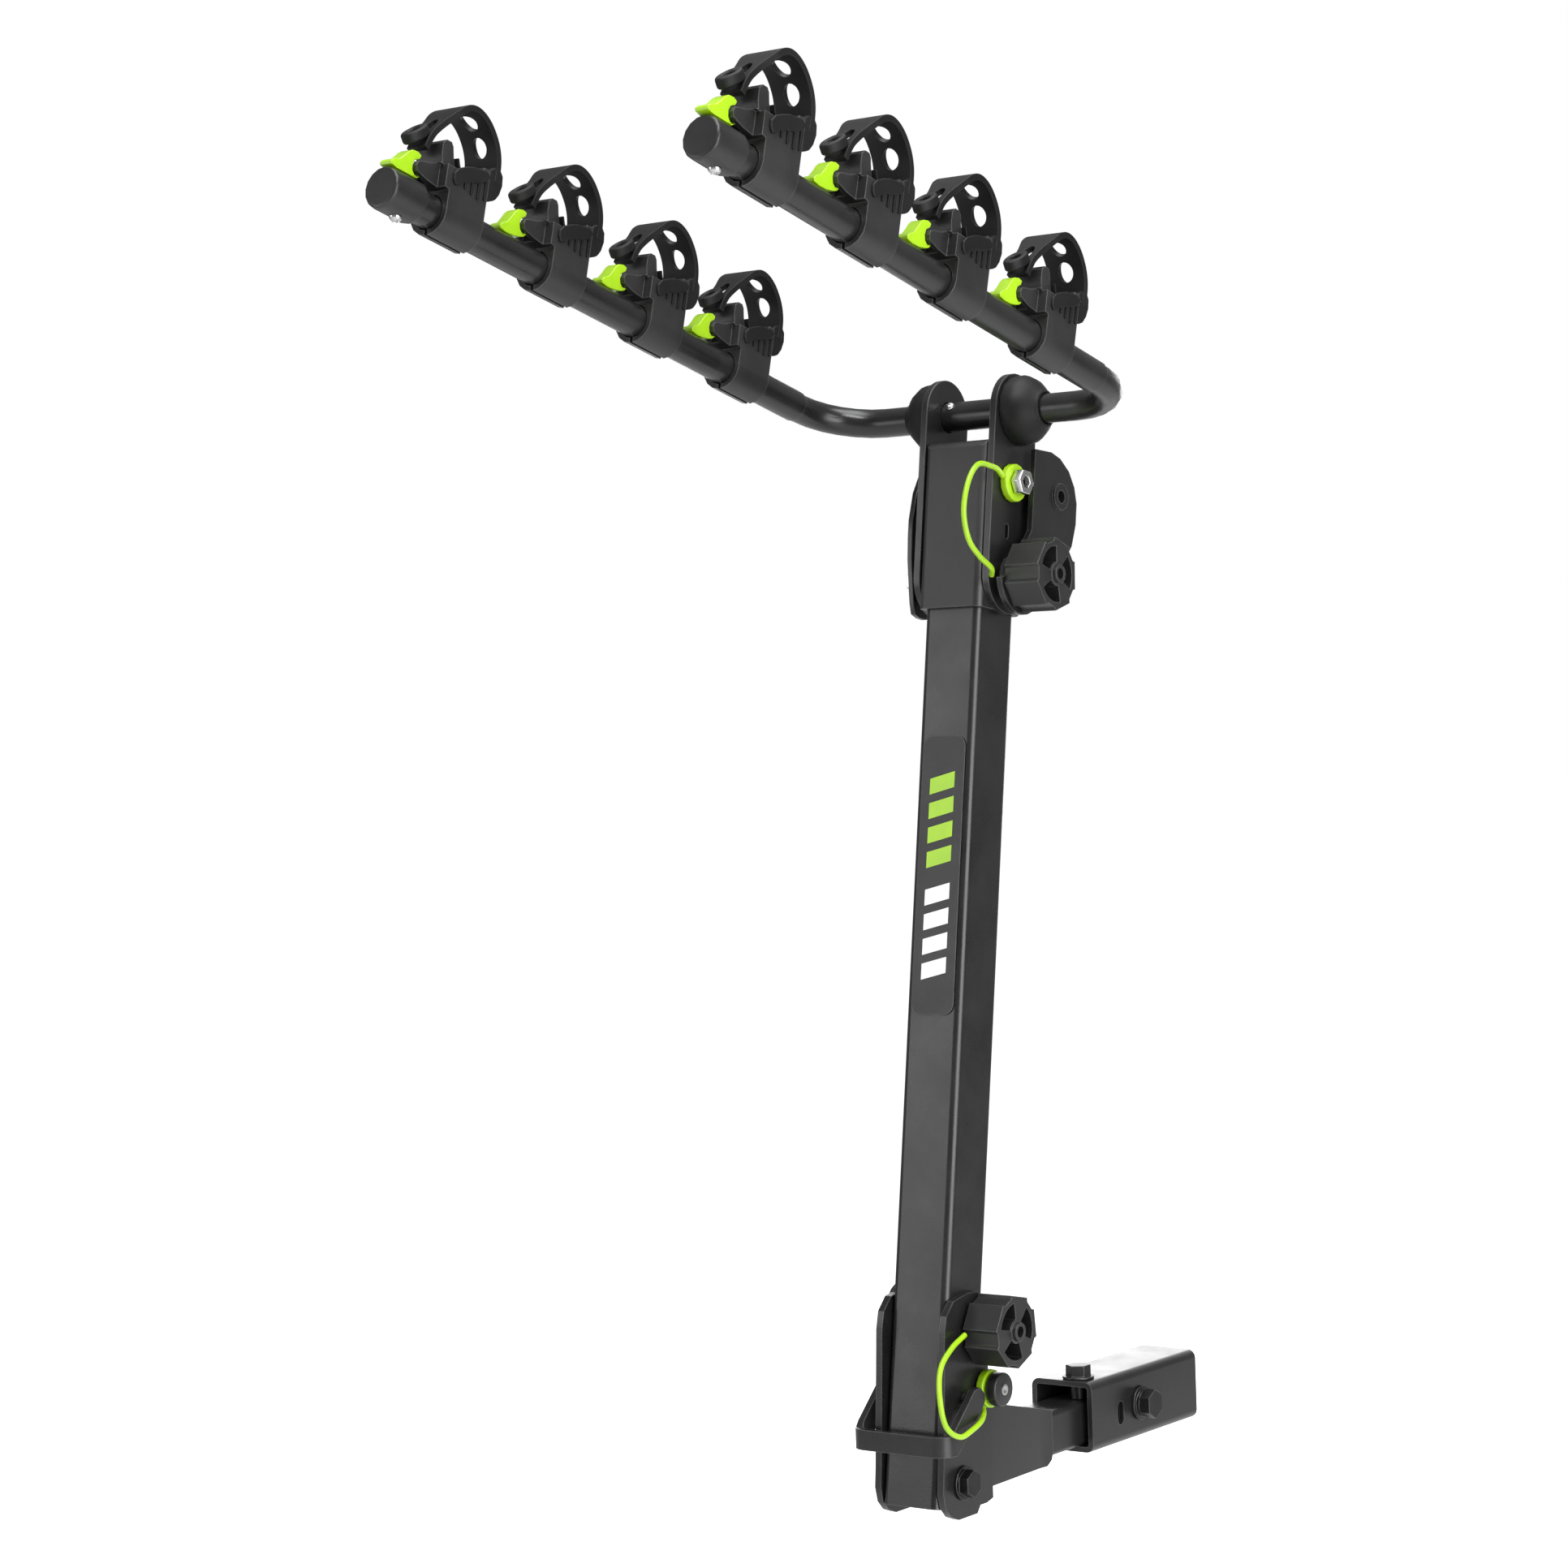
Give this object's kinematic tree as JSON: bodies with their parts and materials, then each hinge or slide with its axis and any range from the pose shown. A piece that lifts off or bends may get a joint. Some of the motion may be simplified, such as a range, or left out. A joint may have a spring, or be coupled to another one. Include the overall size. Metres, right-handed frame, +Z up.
{
  "type": "hitch mounted bike rack",
  "caption": "Hanging bike rack for a tow hitch: tilting square mast, folding U-shaped carrier with rubber-strapped cradles, lock pins and hand knobs.",
  "frame": {"origin": "the centre of the underside face of the hitch adapter sleeve, at mount hitch_shank", "axes": "+X to the side with the hand knobs and lock pins, +Y along the hitch tube towards the vehicle, +Z up"},
  "size_m": [0.28, 0.691, 0.9392],
  "materials": {
    "powder_coated_steel": "satin black powder coat",
    "black_fastener": "black plated",
    "zinc_steel": "bright zinc plate",
    "black_plastic": "moulded, fine grain",
    "black_rubber": "moulded rubber",
    "lime_plastic": "satin lime plastic"
  },
  "bodies": {
    "hitch_end": {"hitch_adapter": "powder_coated_steel", "stinger_tube": "powder_coated_steel", "sleeve_clamp_bolt": "black_fastener", "hitch_bolt": "black_fastener", "hitch_bolt_washers": "zinc_steel", "bracket_plate_right": "powder_coated_steel", "bracket_plate_left": "powder_coated_steel", "pivot_bolt": "black_fastener", "pivot_nut": "black_fastener", "clamp_bolt_retainer": "black_plastic", "tilt_stop_bar": "powder_coated_steel", "mast_lock_tether": "lime_plastic"},
    "mast": {"mast_tube": "powder_coated_steel", "mast_label_plate": "black_plastic", "mast_head_sleeve": "black_plastic", "head_plate_right": "powder_coated_steel", "head_plate_left": "powder_coated_steel", "head_rear_web": "powder_coated_steel", "hinge_bolt": "zinc_steel"},
    "carrier": {"ear_plate_right": "powder_coated_steel", "ear_plate_left": "powder_coated_steel", "carrier_bar": "powder_coated_steel", "bar_bush_right": "black_rubber", "end_cap_right": "black_plastic", "bar_bush_left": "black_rubber", "end_cap_left": "black_plastic", "arm_lock_tether": "lime_plastic", "cradle_left_1": "black_plastic", "strap_left_1": "black_rubber", "cradle_left_2": "black_plastic", "strap_left_2": "black_rubber", "cradle_left_3": "black_plastic", "strap_left_3": "black_rubber", "cradle_left_4": "black_plastic", "strap_left_4": "black_rubber", "cradle_right_1": "black_plastic", "strap_right_1": "black_rubber", "cradle_right_2": "black_plastic", "strap_right_2": "black_rubber", "cradle_right_3": "black_plastic", "strap_right_3": "black_rubber", "cradle_right_4": "black_plastic", "strap_right_4": "black_rubber"},
    "lower_clamp_knob": {"mast_clamp_knob": "black_plastic", "mast_clamp_screw": "zinc_steel"},
    "lower_lock_pin": {"mast_lock_pin": "zinc_steel", "mast_lock_pin_ring": "lime_plastic"},
    "upper_hinge_knob": {"arm_hinge_knob": "black_plastic"},
    "upper_lock_pin": {"arm_lock_pin": "zinc_steel", "arm_lock_pin_ring": "lime_plastic"},
    "buckle_lever_left_1_body": {"buckle_lever_left_1": "lime_plastic"},
    "buckle_lever_left_2_body": {"buckle_lever_left_2": "lime_plastic"},
    "buckle_lever_left_3_body": {"buckle_lever_left_3": "lime_plastic"},
    "buckle_lever_left_4_body": {"buckle_lever_left_4": "lime_plastic"},
    "buckle_lever_right_1_body": {"buckle_lever_right_1": "lime_plastic"},
    "buckle_lever_right_2_body": {"buckle_lever_right_2": "lime_plastic"},
    "buckle_lever_right_3_body": {"buckle_lever_right_3": "lime_plastic"},
    "buckle_lever_right_4_body": {"buckle_lever_right_4": "lime_plastic"}
  },
  "joints": [
    {"name": "mast_tilt", "type": "hinge", "parent": "hitch_end", "child": "mast", "pos_m": [0, -0.246, 0.0124], "axis": [1, 0, 0], "range_deg": [0, 19]},
    {"name": "arm_fold", "type": "hinge", "parent": "mast", "child": "carrier", "pos_m": [0, -0.15743, 0.62705], "axis": [1, 0, 0], "range_deg": [0, 95]},
    {"name": "lower_knob_turn", "type": "hinge", "parent": "hitch_end", "child": "lower_clamp_knob", "pos_m": [0.03, -0.2205, 0.1134], "axis": [1, 0, 0], "continuous": true},
    {"name": "upper_knob_turn", "type": "hinge", "parent": "mast", "child": "upper_hinge_knob", "pos_m": [0.05, -0.15743, 0.62705], "axis": [1, 0, 0], "continuous": true},
    {"name": "lower_pin_pull", "type": "slide", "parent": "hitch_end", "child": "lower_lock_pin", "axis": [1, 0, 0], "range_m": [0, 0.03]},
    {"name": "upper_pin_pull", "type": "slide", "parent": "carrier", "child": "upper_lock_pin", "axis": [1, 0, 0], "range_m": [0, 0.03]},
    {"name": "buckle_left_1", "type": "hinge", "parent": "carrier", "child": "buckle_lever_left_1_body", "pos_m": [-0.1247, -0.58492, 0.88374], "axis": [-1, 0, 0], "range_deg": [0, 36]},
    {"name": "buckle_left_2", "type": "hinge", "parent": "carrier", "child": "buckle_lever_left_2_body", "pos_m": [-0.1247, -0.48446, 0.85682], "axis": [-1, 0, 0], "range_deg": [0, 45]},
    {"name": "buckle_left_3", "type": "hinge", "parent": "carrier", "child": "buckle_lever_left_3_body", "pos_m": [-0.1247, -0.38352, 0.82977], "axis": [-1, 0, 0], "range_deg": [0, 45]},
    {"name": "buckle_left_4", "type": "hinge", "parent": "carrier", "child": "buckle_lever_left_4_body", "pos_m": [-0.1247, -0.2879, 0.80415], "axis": [-1, 0, 0], "range_deg": [0, 45]},
    {"name": "buckle_right_1", "type": "hinge", "parent": "carrier", "child": "buckle_lever_right_1_body", "pos_m": [0.1247, -0.5883, 0.88464], "axis": [-1, 0, 0], "range_deg": [0, 36]},
    {"name": "buckle_right_2", "type": "hinge", "parent": "carrier", "child": "buckle_lever_right_2_body", "pos_m": [0.1247, -0.4864, 0.85734], "axis": [-1, 0, 0], "range_deg": [0, 45]},
    {"name": "buckle_right_3", "type": "hinge", "parent": "carrier", "child": "buckle_lever_right_3_body", "pos_m": [0.1247, -0.38932, 0.83132], "axis": [-1, 0, 0], "range_deg": [0, 45]},
    {"name": "buckle_right_4", "type": "hinge", "parent": "carrier", "child": "buckle_lever_right_4_body", "pos_m": [0.1247, -0.28597, 0.80363], "axis": [-1, 0, 0], "range_deg": [0, 45]}
  ]
}
